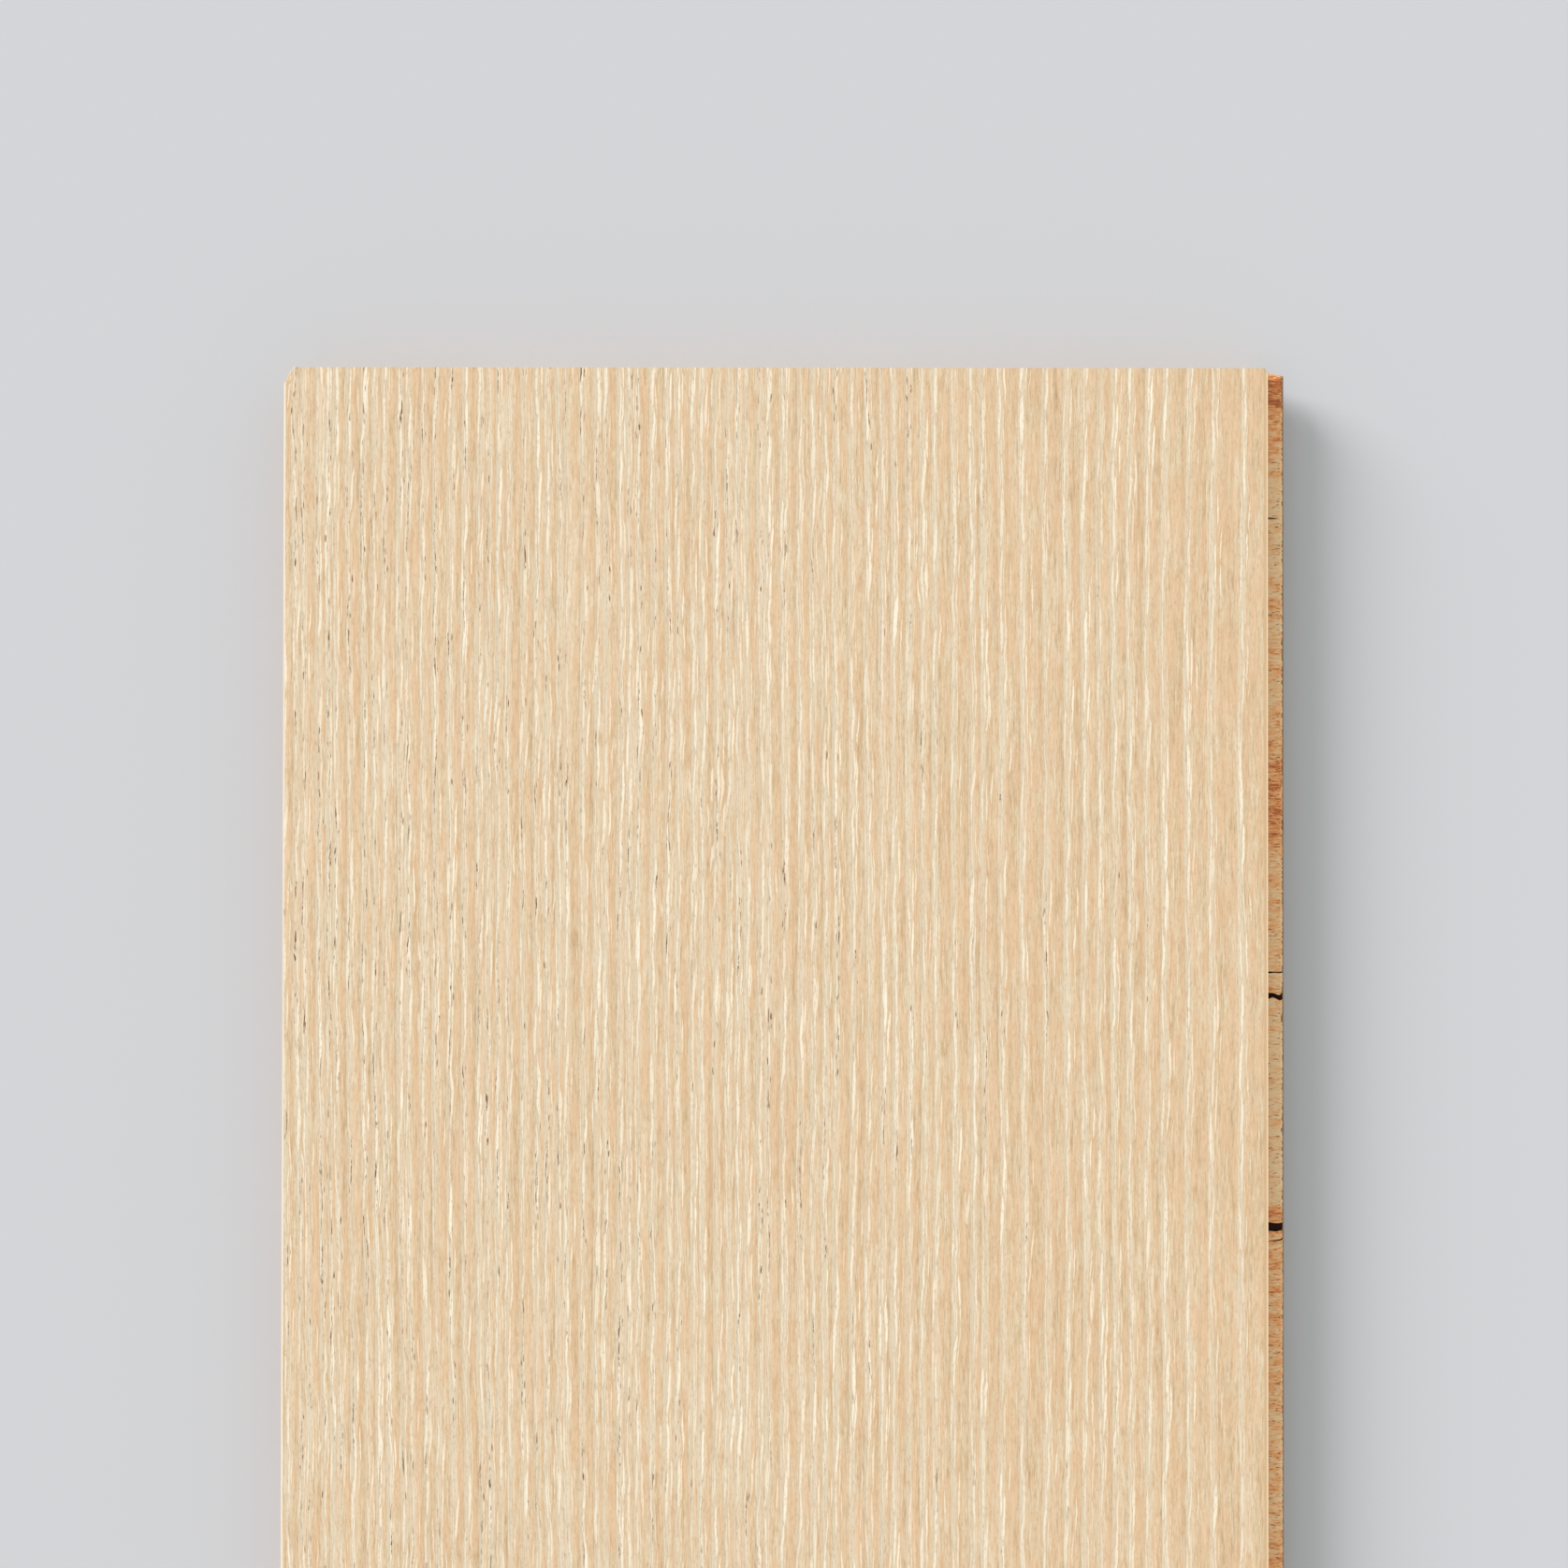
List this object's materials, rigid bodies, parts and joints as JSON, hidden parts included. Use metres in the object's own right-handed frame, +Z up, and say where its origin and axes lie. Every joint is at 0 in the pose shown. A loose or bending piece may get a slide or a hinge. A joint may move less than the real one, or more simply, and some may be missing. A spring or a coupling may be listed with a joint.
{
  "type": "floorboard",
  "caption": "Wide plank floorboard with a brushed, limed oak face on a core of crossed hardwood plies, a tongue along one long edge and a groove along the other.",
  "frame": {"origin": "middle of the underside of the whole box, tongue included", "axes": "+Z up out of the finished face, +Y along the board towards the end that the picture shows, +X across the board towards the tongue"},
  "size_m": [0.2246, 2.2, 0.015],
  "materials": {
    "limed_oak": "brushed along the grain, white lime in the pores, matt oil",
    "core_veneer": "raw rotary-cut hardwood veneer, milled and left uncoated"
  },
  "bodies": {
    "root": {"oak_wear_layer": "limed_oak", "core_ply_1_cross": "core_veneer", "core_ply_2_long": "core_veneer", "core_ply_3_cross": "core_veneer", "core_ply_4_long": "core_veneer", "core_ply_5_cross": "core_veneer", "core_ply_6_long": "core_veneer", "core_ply_7_cross": "core_veneer", "core_ply_8_long": "core_veneer"}
  },
  "joints": []
}
